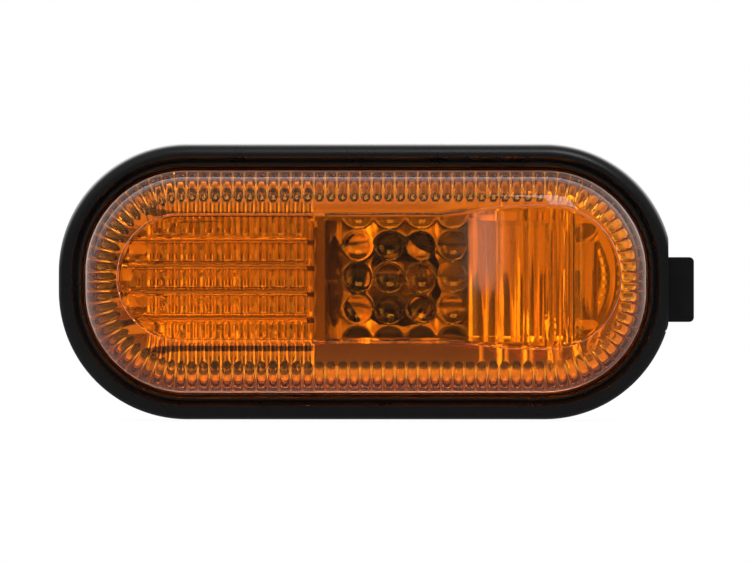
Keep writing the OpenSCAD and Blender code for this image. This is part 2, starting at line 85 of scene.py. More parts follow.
def sweepOval(section, cornerSteps=24, longSteps=24, endSteps=4, closed=True):
    # carries a section of (inset, height) points round the four corners and four straights
    r, cx, cy = oval["cornerR"], oval["centreX"], oval["centreY"]
    bm = bmesh.new()
    verts, edges = drawLine(bm, [(cx + r - inset, cy, z) for inset, z in section], closed)
    geom = verts + edges
    corners = [(cx, cy), (-cx, cy), (-cx, -cy), (cx, -cy)]
    for i, (x, y) in enumerate(corners):
        turned = bmesh.ops.spin(bm, geom=geom, cent=(x, y, 0), axis=(0, 0, 1), angle=math.pi / 2,
                                steps=cornerSteps, use_duplicate=False)
        nextX, nextY = corners[(i + 1) % 4]
        steps = longSteps if i % 2 == 0 else endSteps
        drawn = bmesh.ops.spin(bm, geom=turned["geom_last"], cent=(0, 0, 0), axis=(0, 0, 1), angle=0, steps=steps,
                               dvec=((nextX - x) / steps, (nextY - y) / steps, 0), use_duplicate=False)
        geom = drawn["geom_last"]
    bmesh.ops.remove_doubles(bm, verts=bm.verts, dist=0.0005)
    if not closed:
        bmesh.ops.holes_fill(bm, edges=bm.edges, sides=0)
    bmesh.ops.recalc_face_normals(bm, faces=bm.faces)
    return bm


def prism(points, low, high):
    bm = bmesh.new()
    verts, _ = drawLine(bm, [(x, y, low) for x, y in points])
    face = bm.faces.new(verts)
    raised = bmesh.ops.extrude_face_region(bm, geom=[face])
    upper = [v for v in raised["geom"] if isinstance(v, bmesh.types.BMVert)]
    bmesh.ops.translate(bm, vec=(0, 0, high - low), verts=upper)
    bmesh.ops.recalc_face_normals(bm, faces=bm.faces)
    return bm


def joinShapes(base, others):
    # each of others is (bmesh, "UNION" | "DIFFERENCE" | "INTERSECT"); all are used up
    def toObject(bm):
        mesh = bpy.data.meshes.new("working")
        bm.to_mesh(mesh)
        bm.free()
        obj = bpy.data.objects.new("working", mesh)
        bpy.context.scene.collection.objects.link(obj)
        return obj

    body = toObject(base)
    tools = []
    for bm, operation in others:
        tool = toObject(bm)
        modifier = body.modifiers.new("cut", "BOOLEAN")
        modifier.object = tool
        modifier.operation = operation
        modifier.solver = "MANIFOLD"
        tools.append(tool)
    bpy.context.view_layer.update()
    shaped = bpy.data.meshes.new_from_object(body.evaluated_get(bpy.context.evaluated_depsgraph_get()))
    result = bmesh.new()
    result.from_mesh(shaped)
    for obj in [body] + tools:
        old = obj.data
        bpy.data.objects.remove(obj)
        bpy.data.meshes.remove(old)
    bpy.data.meshes.remove(shaped)
    return result


def newMaterial(name, **sockets):
    material = bpy.data.materials.new(name)
    material.use_nodes = True
    shader = material.node_tree.nodes["Principled BSDF"]
    for socket, value in sockets.items():
        shader.inputs[socket.replace("_", " ")].default_value = value
    return material, material.node_tree, shader


def newGroup(name, inputs, outputs):
    tree = bpy.data.node_groups.new(name, "ShaderNodeTree")
    for label, kind, value in inputs:
        item = tree.interface.new_socket(name=label, in_out="INPUT", socket_type=kind)
        item.default_value = value
    for label, kind in outputs:
        tree.interface.new_socket(name=label, in_out="OUTPUT", socket_type=kind)
    return tree, tree.nodes.new("NodeGroupInput"), tree.nodes.new("NodeGroupOutput")


def addNode(tree, kind, settings=None, **inputs):
    node = tree.nodes.new(kind)
    for key, value in (settings or {}).items():
        setattr(node, key, value)
    for key, value in inputs.items():
        node.inputs[key.replace("_", " ")].default_value = value
    return node


def mouldedSkinGroup():
    # fine spark-eroded grain of a moulded part, with slow drifts in tone and gloss
    tree, given, put = newGroup("mouldedSkin", [
        ("Colour", "NodeSocketColor", (0.02, 0.02, 0.02, 1)), ("Grain Size", "NodeSocketFloat", 9000.0),
        ("Roughness", "NodeSocketFloat", 0.5), ("Drift", "NodeSocketFloat", 0.15),
    ], [("Colour", "NodeSocketColor"), ("Roughness", "NodeSocketFloat"), ("Height", "NodeSocketFloat")])
    place = tree.nodes.new("ShaderNodeTexCoord")
    grain = addNode(tree, "ShaderNodeTexNoise", Detail=3.0, Roughness=0.6)
    drift = addNode(tree, "ShaderNodeTexNoise", Scale=160.0, Detail=4.0, Roughness=0.55)
    tone = addNode(tree, "ShaderNodeMapRange", To_Min=-1.0, To_Max=1.0)
    amount = addNode(tree, "ShaderNodeMath", {"operation": "MULTIPLY"})
    lift = addNode(tree, "ShaderNodeMath", {"operation": "ADD"})
    lift.inputs[1].default_value = 1.0
    colour = addNode(tree, "ShaderNodeVectorMath", {"operation": "SCALE"})
    gloss = addNode(tree, "ShaderNodeMath", {"operation": "MULTIPLY", "use_clamp": True})
    link = tree.links.new
    link(place.outputs["Object"], grain.inputs["Vector"])
    link(place.outputs["Object"], drift.inputs["Vector"])
    link(given.outputs["Grain Size"], grain.inputs["Scale"])
    link(drift.outputs["Fac"], tone.inputs["Value"])
    link(tone.outputs["Result"], amount.inputs[0])
    link(given.outputs["Drift"], amount.inputs[1])
    link(amount.outputs[0], lift.inputs[0])
    link(given.outputs["Colour"], colour.inputs[0])
    link(lift.outputs[0], colour.inputs["Scale"])
    link(lift.outputs[0], gloss.inputs[0])
    link(given.outputs["Roughness"], gloss.inputs[1])
    link(colour.outputs[0], put.inputs["Colour"])
    link(gloss.outputs[0], put.inputs["Roughness"])
    link(grain.outputs["Fac"], put.inputs["Height"])
    return tree


def settledDustGroup():
    # pale film that lies thicker on faces turned up
    tree, given, put = newGroup("settledDust", [
        ("Colour", "NodeSocketColor", (0.1, 0.1, 0.1, 1)), ("Amount", "NodeSocketFloat", 0.1),
    ], [("Colour", "NodeSocketColor"), ("Mask", "NodeSocketFloat")])
    place = tree.nodes.new("ShaderNodeTexCoord")
    facing = tree.nodes.new("ShaderNodeNewGeometry")
    split = tree.nodes.new("ShaderNodeSeparateXYZ")
    upward = addNode(tree, "ShaderNodeMapRange", From_Min=-0.4, From_Max=1.0, To_Min=0.25, To_Max=1.0)
    patches = addNode(tree, "ShaderNodeTexNoise", Scale=520.0, Detail=6.0, Roughness=0.7)
    broken = addNode(tree, "ShaderNodeMapRange", From_Min=0.42, From_Max=0.72)
    both = addNode(tree, "ShaderNodeMath", {"operation": "MULTIPLY"})
    share = addNode(tree, "ShaderNodeMath", {"operation": "MULTIPLY", "use_clamp": True})
    mix = addNode(tree, "ShaderNodeMix", {"data_type": "RGBA"})
    mix.inputs["B"].default_value = (0.36, 0.34, 0.31, 1)
    link = tree.links.new
    link(facing.outputs["Normal"], split.inputs[0])
    link(split.outputs["Z"], upward.inputs["Value"])
    link(place.outputs["Object"], patches.inputs["Vector"])
    link(patches.outputs["Fac"], broken.inputs["Value"])
    link(upward.outputs["Result"], both.inputs[0])
    link(broken.outputs["Result"], both.inputs[1])
    link(both.outputs[0], share.inputs[0])
    link(given.outputs["Amount"], share.inputs[1])
    link(share.outputs[0], mix.inputs["Factor"])
    link(given.outputs["Colour"], mix.inputs["A"])
    link(mix.outputs["Result"], put.inputs["Colour"])
    link(share.outputs[0], put.inputs["Mask"])
    return tree


def rolledMetalGroup():
    # fine rolling lines, with stains that darken and dull the metal
    tree, given, put = newGroup("rolledMetal", [
        ("Colour", "NodeSocketColor", (0.6, 0.6, 0.6, 1)), ("Roughness", "NodeSocketFloat", 0.3),
        ("Stain", "NodeSocketFloat", 0.3),
    ], [("Colour", "NodeSocketColor"), ("Roughness", "NodeSocketFloat"), ("Height", "NodeSocketFloat")])
    place = tree.nodes.new("ShaderNodeTexCoord")
    turn = addNode(tree, "ShaderNodeMapping", Scale=(1.0, 1.0, 14.0))
    lines = addNode(tree, "ShaderNodeTexNoise", Scale=700.0, Detail=4.0)
    stain = addNode(tree, "ShaderNodeTexNoise", Scale=260.0, Detail=5.0, Roughness=0.65)
    dark = addNode(tree, "ShaderNodeMapRange", From_Min=0.3, From_Max=0.75, To_Min=1.0, To_Max=0.55)
    fade = addNode(tree, "ShaderNodeMix", {"data_type": "FLOAT"})
    fade.inputs["A"].default_value = 1.0
    colour = addNode(tree, "ShaderNodeVectorMath", {"operation": "SCALE"})
    dull = addNode(tree, "ShaderNodeMapRange", From_Min=0.3, From_Max=0.7, To_Min=0.75, To_Max=1.35)
    gloss = addNode(tree, "ShaderNodeMath", {"operation": "MULTIPLY", "use_clamp": True})
    link = tree.links.new
    link(place.outputs["Object"], turn.inputs["Vector"])
    link(turn.outputs["Vector"], lines.inputs["Vector"])
    link(place.outputs["Object"], stain.inputs["Vector"])
    link(stain.outputs["Fac"], dark.inputs["Value"])
    link(given.outputs["Stain"], fade.inputs["Factor"])
    link(dark.outputs["Result"], fade.inputs["B"])
    link(given.outputs["Colour"], colour.inputs[0])
    link(fade.outputs["Result"], colour.inputs["Scale"])
    link(stain.outputs["Fac"], dull.inputs["Value"])
    link(dull.outputs["Result"], gloss.inputs[0])
    link(given.outputs["Roughness"], gloss.inputs[1])
    link(colour.outputs[0], put.inputs["Colour"])
    link(gloss.outputs[0], put.inputs["Roughness"])
    link(lines.outputs["Fac"], put.inputs["Height"])
    return tree


mouldedSkin = mouldedSkinGroup()
settledDust = settledDustGroup()
rolledMetal = rolledMetalGroup()


def placeGroup(tree, group, **inputs):
    node = tree.nodes.new("ShaderNodeGroup")
    node.node_tree = group
    for key, value in inputs.items():
        node.inputs[key.replace("_", " ")].default_value = value
    return node


def addBump(tree, shader, height, strength, distance):
    bump = addNode(tree, "ShaderNodeBump", Strength=strength, Distance=distance)
    tree.links.new(height, bump.inputs["Height"])
    tree.links.new(bump.outputs["Normal"], shader.inputs["Normal"])


def plasticMaterial(name, colour, roughness, grainSize=9000.0, grainDepth=0.00002, drift=0.15, dust=0.05, **sockets):
    material, tree, shader = newMaterial(name, **sockets)
    skin = placeGroup(tree, mouldedSkin, Colour=(*colour, 1), Grain_Size=grainSize, Roughness=roughness, Drift=drift)
    film = placeGroup(tree, settledDust, Amount=dust)
    tree.links.new(skin.outputs["Colour"], film.inputs["Colour"])
    tree.links.new(film.outputs["Colour"], shader.inputs["Base Color"])
    tree.links.new(skin.outputs["Roughness"], shader.inputs["Roughness"])
    addBump(tree, shader, skin.outputs["Height"], 0.35, grainDepth)
    return material


def metalMaterial(name, colour, roughness, stain=0.3, lines=0.1):
    material, tree, shader = newMaterial(name, Metallic=1.0)
    surface = placeGroup(tree, rolledMetal, Colour=(*colour, 1), Roughness=roughness, Stain=stain)
    tree.links.new(surface.outputs["Colour"], shader.inputs["Base Color"])
    tree.links.new(surface.outputs["Roughness"], shader.inputs["Roughness"])
    addBump(tree, shader, surface.outputs["Height"], lines, 0.00002)
    return material


def platedMaterial(name, colour, roughness, s):
    # Vapour plated skin. Its left part has low waves, one to each row of pillows, with painted shade darkening their
    # crests.
    # Its right end has loops. Painted shade darkens a band round the flange, wider at the left end, in place of the
    # shade seen through the flutes.
    material, tree, shader = newMaterial(name, Metallic=0.93)
    surface = placeGroup(tree, mouldedSkin, Colour=(*colour, 1), Grain_Size=5200.0, Roughness=roughness, Drift=0.08)
    link = tree.links.new

    def ramp(value, low, high, toLow, toHigh):
        node = addNode(tree, "ShaderNodeMapRange", {"interpolation_type": "SMOOTHSTEP"},
                       From_Min=low, From_Max=high, To_Min=toLow, To_Max=toHigh)
        link(value, node.inputs["Value"])
        return node.outputs["Result"]

    def maths(operation, a, b):
        node = addNode(tree, "ShaderNodeMath", {"operation": operation})
        for socket, value in zip(node.inputs, (a, b)):
            if isinstance(value, float):
                socket.default_value = value
            else:
                link(value, socket)
        return node.outputs[0]

    def vectors(operation, vector, other):
        node = addNode(tree, "ShaderNodeVectorMath", {"operation": operation})
        link(vector, node.inputs[0])
        node.inputs[1].default_value = other
        return node.outputs

    place = tree.nodes.new("ShaderNodeTexCoord").outputs["Object"]
    millimetres = vectors("MULTIPLY", place, (1000, 1000, 1000))[0]
    split = tree.nodes.new("ShaderNodeSeparateXYZ")
    link(millimetres, split.inputs[0])
    x = split.outputs["X"]
    folded = vectors("ABSOLUTE", millimetres, (0, 0, 0))[0]
    fromCore = vectors("SUBTRACT", folded, (oval["centreX"], 1000, oval["centreY"]))[0]
    outward = vectors("MAXIMUM", fromCore, (0, 0, 0))[0]
    inset = maths("SUBTRACT", oval["cornerR"], vectors("LENGTH", outward, (0, 0, 0))["Value"])
    # painted shade: a dark band round the flange, wider at the left end and fading out at the right end, stands in
    # for the shade seen at the inner ends of the lens's flutes
    widened = maths("ADD", inset, ramp(x, *s["leftEnd"], s["widen"], 0.0))
    shadeBand = maths("MULTIPLY", ramp(widened, *s["bandFrom"], 0.0, s["bandShade"]), ramp(inset, *s["bandTo"], 1.0, 0.0))
    shadeBand = maths("MULTIPLY", shadeBand, ramp(x, *s["rightEnd"], 1.0, 0.0))
    waves = addNode(tree, "ShaderNodeTexWave", {"bands_direction": "Z", "wave_profile": "SIN"},
                    Scale=math.pi / (10 * s["pitch"]), Distortion=0.0)
    link(millimetres, waves.inputs["Vector"])
    left = ramp(x, s["wavesEnd"] - 0.5, s["wavesEnd"], 1.0, 0.0)
    # painted shade: the wave crests are darkened into dark lines between the pillow rows
    crests = maths("MULTIPLY", ramp(waves.outputs["Fac"], *s["crest"], 0.0, s["crestShade"]), left)
    loops = addNode(tree, "ShaderNodeTexWave", {"wave_type": "RINGS", "rings_direction": "Y", "wave_profile": "SIN"},
                    Scale=math.pi / (10 * s["loopPitch"]), Distortion=0.0)
    link(vectors("SUBTRACT", millimetres, s["loopCentre"])[0], loops.inputs["Vector"])
    right = ramp(x, *s["loopsFrom"], 0.0, s["loopSwell"] / s["swell"])
    # the share of the plating's colour that the painted shade leaves
    unshaded = maths("SUBTRACT", 1.0, maths("MAXIMUM", shadeBand, crests))
    tone = addNode(tree, "ShaderNodeVectorMath", {"operation": "SCALE"})
    bump = addNode(tree, "ShaderNodeBump", Strength=1.0, Distance=s["swell"] / 1000)
    link(surface.outputs["Colour"], tone.inputs[0])
    link(unshaded, tone.inputs["Scale"])
    link(tone.outputs[0], shader.inputs["Base Color"])
    link(surface.outputs["Roughness"], shader.inputs["Roughness"])
    rows = maths("MULTIPLY", waves.outputs["Fac"], left)
    height = maths("ADD", rows, maths("MULTIPLY", loops.outputs["Fac"], right))
    link(height, bump.inputs["Height"])
    link(bump.outputs["Normal"], shader.inputs["Normal"])
    return material


def clearMaterial(name, colour, roughness, ior, shadowColour, streaks=0.0, depthColour=None, depthPerMetre=0.0,
                  **sockets):
    # lamps reach what is behind the glass through a transparent shader on shadow rays
    material, tree, shader = newMaterial(name, Transmission_Weight=1.0, IOR=ior, **sockets)
    place = tree.nodes.new("ShaderNodeTexCoord")
    cloud = addNode(tree, "ShaderNodeTexNoise", Scale=90.0, Detail=3.0)
    tone = addNode(tree, "ShaderNodeMix", {"data_type": "RGBA"})
    tone.inputs["A"].default_value = (*[c * (1 - streaks) for c in colour], 1)
    tone.inputs["B"].default_value = (*[min(1.0, c * (1 + streaks)) for c in colour], 1)
    haze = addNode(tree, "ShaderNodeMapRange", From_Min=0.3, From_Max=0.7,
                   To_Min=roughness * 0.7, To_Max=roughness * 1.4)
    clear = addNode(tree, "ShaderNodeBsdfTransparent", Color=(*shadowColour, 1))
    rays = tree.nodes.new("ShaderNodeLightPath")
    mix = tree.nodes.new("ShaderNodeMixShader")
    link = tree.links.new
    link(place.outputs["Object"], cloud.inputs["Vector"])
    link(cloud.outputs["Fac"], tone.inputs["Factor"])
    link(cloud.outputs["Fac"], haze.inputs["Value"])
    link(tone.outputs["Result"], shader.inputs["Base Color"])
    link(haze.outputs["Result"], shader.inputs["Roughness"])
    link(rays.outputs["Is Shadow Ray"], mix.inputs["Fac"])
    link(shader.outputs["BSDF"], mix.inputs[1])
    link(clear.outputs["BSDF"], mix.inputs[2])
    link(mix.outputs["Shader"], tree.nodes["Material Output"].inputs["Surface"])
    if depthColour:
        depth = addNode(tree, "ShaderNodeVolumeAbsorption", Color=(*depthColour, 1), Density=depthPerMetre)
        link(depth.outputs["Volume"], tree.nodes["Material Output"].inputs["Volume"])
    return material


amberPlastic = clearMaterial("amberAcrylic", (1.0, 0.51, 0.05), 0.03, 1.49, shadowColour=(1.0, 0.7, 0.24),
                             streaks=0.03, depthColour=(0.97, 0.6, 0.08), depthPerMetre=230.0,
                             Sheen_Weight=0.85, Sheen_Roughness=0.38, Sheen_Tint=(1.0, 0.82, 0.76, 1))
bulbGlassClear = clearMaterial("bulbGlassClear", (0.97, 0.98, 0.97), 0.01, 1.45, shadowColour=(0.95, 0.95, 0.95))
surroundBlack = plasticMaterial("surroundBlack", (0.004, 0.004, 0.0042), 0.28, grainSize=7000.0, grainDepth=0.00001,
                                drift=0.12, dust=0.0)
housingBlack = plasticMaterial("housingBlack", (0.003, 0.003, 0.0033), 0.5, grainSize=6000.0, grainDepth=0.00004,
                               drift=0.18, dust=0.008, Specular_IOR_Level=0.3)
holderGrey = plasticMaterial("holderGrey", (0.022, 0.022, 0.024), 0.5, grainSize=6500.0, grainDepth=0.00004,
                             drift=0.2, dust=0.1)
foamGrey = plasticMaterial("foamGrey", (0.035, 0.035, 0.037), 0.92, grainSize=2600.0, grainDepth=0.0002,
                           drift=0.25, dust=0.16)
sealRubber = plasticMaterial("sealRubber", (0.02, 0.014, 0.012), 0.62, grainSize=5000.0, grainDepth=0.00004,
                             drift=0.2, dust=0.08)
# pitches, swells and places of the insert's waves, loops and painted shade band, in mm; from and to are the ends of a
# fade
platingSize = {"pitch": 3.4, "swell": 0.12, "wavesEnd": -6.5, "crest": (0.84, 0.97), "crestShade": 0.8,
               "bandFrom": (6.2, 6.8), "bandTo": (7.8, 8.2), "bandShade": 0.87,
               "leftEnd": (-35.0, -27.0), "widen": 2.0, "rightEnd": (21.0, 29.0),
               "loopPitch": 2.4, "loopSwell": 0.26, "loopCentre": (22, 0, 0.5), "loopsFrom": (28.0, 30.0)}
platedInsert = platedMaterial("platedInsert", (0.8, 0.8, 0.78), 0.09, platingSize)
springSteel = metalMaterial("springSteel", (0.55, 0.55, 0.53), 0.32, stain=0.35, lines=0.12)
terminalTin = metalMaterial("terminalTin", (0.72, 0.62, 0.42), 0.28, stain=0.3, lines=0.08)
leadWireNickel = metalMaterial("leadWireNickel", (0.62, 0.6, 0.56), 0.3, stain=0.2, lines=0.05)
tungstenGrey = metalMaterial("tungstenGrey", (0.32, 0.32, 0.33), 0.45, stain=0.3, lines=0.05)
print("materials made:", len(bpy.data.materials))

ringSize = {"width": 3.0, "rise": 5.6, "foot": 0.8, "shoulderR": 1.5, "shoulderEnd": 80, "shoulderSteps": 14,
            "lipR": 0.38, "lipDrop": 1.1, "lipStart": 145, "lipSteps": 8, "rebate": 1.45,
            # flat at the tongue's end, with a small step at its foot
            "cutX": 39.4, "cutLow": -6.5, "cutHigh": 5.9, "nick": 0.45, "cutReach": 3, "cutFrom": -1, "cutTo": 11}


def makeTrimRing(s):
    section = [(0, s["foot"])]
    section += arcPoints(s["shoulderR"], s["rise"] - s["shoulderR"], s["shoulderR"], 180, s["shoulderEnd"],
                         s["shoulderSteps"])
    section += [(s["width"] - 2 * s["lipR"], s["rise"] - s["lipDrop"] - s["lipR"] / 2)]
    section += arcPoints(s["width"] - s["lipR"], s["rise"] - s["lipDrop"] - s["lipR"], s["lipR"], s["lipStart"], 0,
                         s["lipSteps"])
    section += [(s["width"], oval["flangeTop"]), (s["rebate"], oval["flangeTop"]), (s["rebate"], s["foot"])]
    ring = sweepOval(section, cornerSteps=40, longSteps=8, endSteps=2)
    low, high, nick, x = s["cutLow"], s["cutHigh"], s["nick"], s["cutX"]
    far = x + s["cutReach"]
    corners = [(x, high), (far, high), (far, low - 2 * nick), (x - nick, low), (x, low + nick)]
    return joinShapes(ring, [(prism(corners, s["cutFrom"], s["cutTo"]), "DIFFERENCE")])


standUp("trimRing", makeTrimRing(ringSize), surroundBlack, "lamp", 40, ["trim_ring"])

# heights and insets of the shell, then the window's outline, then the flutes
lensSize = {"foot": 1.6, "footLeft": 3.6, "rimIn": 3.2, "rimTop": 3.6, "rimDraft": 0.02, "rimChamfer": 0.12,
            "domeIn": 3.5, "wall": 0.7, "rise": 10.2, "shoulderR": 5.8, "shoulderSteps": 20,
            "crownR": 100.0, "crownSteps": 8, "back": 8.5, "hub": 14.7,
            "windowY": 0.55, "windowLeft": -32.3, "windowRight": 33.2, "windowHalf": 8.35,
            "lobeHalf": 9.4, "lobeFrom": 8.0, "lobeTo": 21.0, "plateau": 1.5, "edgeRound": 0.35,
            "fluteFoot": 3.7, "fluteEase": 0.3, "fluteIn": 7.8, "fluteDepth": 0.42, "fluteShort": 0.45,
            "flutesCorner": 12, "flutesLong": 31, "flutesEnd": 2, "fluteSteps": 9, "cutsPerFlute": 12}

# depths are counted from the back of the window; left, middle and right part of it in turn
opticSize = {"rise": 0.55, "seat": 0.4, "skin": 0.02, "inset": 0.5, "lap": 0.001,
             "pillowRise": 0.8, "pillowAcross": 0.3, "pillowEnds": 0.7,
             "pillowW": 2.31, "pillowH": 3.4, "pillowCols": 11, "pillowRows": 5, "gridRight": -7.6, "gridY": 0.35,
             "barGap": 0.12, "barW": 0.9, "barLow": -9.5, "barHigh": 10.5, "barShare": 0.8,
             "roundPitch": 4.1, "roundCols": 4, "roundRows": 5, "roundX": 5.1, "roundShare": 0.47,
             "ribsLeft": 13.3, "ribsLow": -10, "ribsHigh": 11, "ribRise": 0.5,
             "ribWidths": [3.6, 3.5, 2.8, 2.4, 1.5, 3.0]}


def ease(t):
    k = min(1.0, max(0.0, t))
    return k * k * (3 - 2 * k)


def windowOutline(s, inset=0.0, steps=28):
    # keyhole: the narrow part on the left widens to the lobe on the right
    def top(x):
        share = ease((x - s["lobeFrom"]) / (s["lobeTo"] - s["lobeFrom"]))
        return s["windowHalf"] + (s["lobeHalf"] - s["windowHalf"]) * share

    upper = arcPoints(s["windowLeft"] + s["windowHalf"], 0, s["windowHalf"] - inset, 180, 90, steps)
    for i in range(steps + 1):
        x = s["lobeFrom"] + (s["lobeTo"] - s["lobeFrom"]) * i / steps
        upper.append((x, top(x) - inset))
    upper += arcPoints(s["windowRight"] - s["lobeHalf"], 0, s["lobeHalf"] - inset, 90, 0, steps)
    lower = [(x, -y) for x, y in reversed(upper) if y > 0.01]
    return [(x, y + s["windowY"]) for x, y in upper + lower]


def shoulderCentre(s):
    # the rounded shoulder is tangent to the side wall and to the large crown arc
    across = oval["cornerR"] - s["domeIn"] - s["shoulderR"]
    return across, s["rise"] - s["crownR"] + math.sqrt((s["crownR"] - s["shoulderR"]) ** 2 - across ** 2)


def lensShell(s):
    cornerR = oval["cornerR"]
    across, up = shoulderCentre(s)
    turn = math.degrees(math.atan2(up - s["rise"] + s["crownR"], across))
    section = [(s["hub"], s["foot"]), (s["footLeft"], s["foot"])]
    section += [(s["footLeft"], oval["flangeTop"]), (s["rimIn"], oval["flangeTop"])]
    rimEdge = s["rimIn"] + s["rimDraft"]
    section += [(rimEdge, s["rimTop"] - s["rimChamfer"]), (rimEdge + s["rimChamfer"], s["rimTop"])]
    section.append((s["domeIn"], s["rimTop"]))
    section += [(cornerR - x, z) for x, z in arcPoints(across, up, s["shoulderR"], 0, turn, s["shoulderSteps"])]
    edge = s["crownR"] * math.cos(math.radians(turn))
    hubR = cornerR - s["hub"]
    for i in range(1, s["crownSteps"] + 1):
        x = edge + (hubR - edge) * i / s["crownSteps"]
        section.append((cornerR - x, s["rise"] - s["crownR"] + math.sqrt(s["crownR"] ** 2 - x * x)))
    return sweepOval(section, cornerSteps=48, longSteps=16, endSteps=2, closed=False)


def windowPlateau(s):
    bm = prism(windowOutline(s), s["rise"] - s["plateau"], s["rise"])
    rim = [e for e in bm.edges if all(abs(v.co.z - s["rise"]) < 1e-4 for v in e.verts)]
    bmesh.ops.bevel(bm, geom=rim, affect="EDGES", offset=s["edgeRound"], segments=3, profile=0.5, material=-1)
    return bm


def flutedHollow(s):
    # trough and ridge run side by side inside the shoulder, with the same number of points,
    # and each cut across them lies between the two
    across, up = shoulderCentre(s)
    back, low = s["back"], s["foot"] - 1
    middle = oval["cornerR"] - across

    def inside(thick, foot):
        r = s["shoulderR"] - thick
        rise = math.degrees(math.asin((back - up) / r))
        return [(middle - r, foot)] + [(middle - x, z) for x, z in arcPoints(0, up, r, 0, rise, s["fluteSteps"])]

    wall, full = s["domeIn"] + s["wall"], s["fluteFoot"] + s["fluteEase"]
    trough = [(wall, low), (wall, oval["flangeTop"]), (wall, s["fluteFoot"])] + inside(s["wall"], full)
    ridge = trough[:3] + inside(s["wall"] + s["fluteDepth"], full)
    # both close on the flat back, the ridge a little further in
    trough += [(s["fluteIn"] + 0.1, back), (s["fluteIn"] + 0.3, back)]
    ridge += [(s["fluteIn"] + 0.2, back), (s["fluteIn"] + 0.3, back)]
    cuts = s["cutsPerFlute"]
    bm = sweepOval(trough + [(s["hub"], back)], cornerSteps=s["flutesCorner"] * cuts,
                   longSteps=s["flutesLong"] * cuts, endSteps=s["flutesEnd"] * cuts, closed=False)
    tolerance = 0.04
    r, cx, cy = oval["cornerR"], oval["centreX"], oval["centreY"]
    for v in bm.verts:
        x, y, z = v.co
        core = Vector((min(cx, max(-cx, x)), min(cy, max(-cy, y)), 0))
        out = Vector((x, y, 0)) - core
        inset = r - out.length
        i = min(range(len(trough)), key=lambda k: abs(trough[k][0] - inset) + abs(trough[k][1] - z))
        if abs(trough[i][0] - inset) + abs(trough[i][1] - z) > tolerance or trough[i] == ridge[i]:
            continue
        # how far along its own straight or corner, counted in flutes
        if abs(x) > cx - 1e-4 and abs(y) > cy - 1e-4:
            along = math.atan2(abs(y) - cy, abs(x) - cx) / (math.pi / 2) * s["flutesCorner"]
        elif abs(y) > cy:
            along = (x + cx) / (2 * cx) * s["flutesLong"]
        else:
            along = (y + cy) / (2 * cy) * s["flutesEnd"]
        # the rods are lower at the right end
        shorter = 1 - (1 - s["fluteShort"]) * ease((x - cx - 1) / (r / 2))
        k = math.sqrt(max(0.0, 1 - (2 * (along % 1) - 1) ** 2)) * shorter
        place = core + out.normalized() * (r - trough[i][0] - (ridge[i][0] - trough[i][0]) * k)
        v.co = (place.x, place.y, trough[i][1] + (ridge[i][1] - trough[i][1]) * k)
    return bm


def opticBlock(s, o, left, right, low, high, cols, rows, height):
    # a grid whose underside follows height(x, y), with a flat lid sunk in the window
    bm = bmesh.new()
    bmesh.ops.create_grid(bm, x_segments=cols, y_segments=rows, size=0.5)
    for v in bm.verts:
        x = left + (v.co.x + 0.5) * (right - left)
        y = low + (v.co.y + 0.5) * (high - low)
        v.co = (x, y, s["back"] - height(x, y))
    rim = [e for e in bm.edges if e.is_boundary]
    raised = bmesh.ops.extrude_edge_only(bm, edges=rim)
    upper = [v for v in raised["geom"] if isinstance(v, bmesh.types.BMVert)]
    for v in upper:
        v.co.z = s["back"] + o["seat"]
    bmesh.ops.holes_fill(bm, edges=[e for e in bm.edges if e.is_boundary], sides=0)
    bmesh.ops.recalc_face_normals(bm, faces=bm.faces)
    return bm


def makeOptics(s, o):
    rise = o["rise"]
    gridLeft = o["gridRight"] - o["pillowCols"] * o["pillowW"]
    gridLow = o["gridY"] - o["pillowRows"] * o["pillowH"] / 2

    def pillow(x, y):
        u = ((x - gridLeft) / o["pillowW"]) % 1 * 2 - 1
        v = ((y - gridLow) / o["pillowH"]) % 1 * 2 - 1
        # crowned across, flat along and steep at its two ends
        return o["pillowRise"] * (1 - o["pillowAcross"] * u * u - o["pillowEnds"] * abs(v) ** 5)

    def ball(x, y):
        u = ((x - o["roundX"]) / o["roundPitch"]) % 1 - 0.5
        v = ((y - s["windowY"]) / o["roundPitch"] + 0.5) % 1 - 0.5
        d = math.hypot(u, v) / o["roundShare"]
        return o["skin"] + rise * max(0.0, 1 - d * d)

    edges = [o["ribsLeft"]]
    for w in o["ribWidths"]:
        edges.append(edges[-1] + w)

    def rib(x, y):
        for a, b in zip(edges, edges[1:]):
            if a <= x <= b:
                u = (x - (a + b) / 2) / ((b - a) / 2)
                return o["skin"] + o["ribRise"] * (1 - u * u)
        return o["skin"]

    def bar(x, y):
        return rise * o["barShare"]

    gridHigh = gridLow + o["pillowRows"] * o["pillowH"]
    barLeft = o["gridRight"] + o["barGap"]
    half = o["roundCols"] * o["roundPitch"] / 2
    high = o["roundRows"] * o["roundPitch"] / 2
    blocks = [
        opticBlock(s, o, gridLeft, o["gridRight"], gridLow - o["lap"], gridHigh + o["lap"],
                   o["pillowCols"] * 8, o["pillowRows"] * 10, pillow),
        opticBlock(s, o, barLeft, barLeft + o["barW"], o["barLow"], o["barHigh"], 2, 4, bar),
        opticBlock(s, o, o["roundX"] - half, o["roundX"] + half, s["windowY"] - high, s["windowY"] + high,
                   o["roundCols"] * 14, o["roundRows"] * 14, ball),
        opticBlock(s, o, edges[0] + o["lap"], edges[-1], o["ribsLow"], o["ribsHigh"], 100, 6, rib),
    ]
    whole = bmesh.new()
    for block in blocks:
        carrier = bpy.data.meshes.new("carrier")
        block.to_mesh(carrier)
        block.free()
        whole.from_mesh(carrier)
        bpy.data.meshes.remove(carrier)
    window = prism(windowOutline(s, o["inset"]), s["back"] - 3, s["back"] + 2)
    return joinShapes(whole, [(window, "INTERSECT")])


def makeLens(s, o):
    optics = makeOptics(s, o)
    return joinShapes(lensShell(s), [(windowPlateau(s), "UNION"), (flutedHollow(s), "DIFFERENCE"), (optics, "UNION")])


standUp("lensAmber", makeLens(lensSize, opticSize), amberPlastic, "lamp", 28, ["lens"])


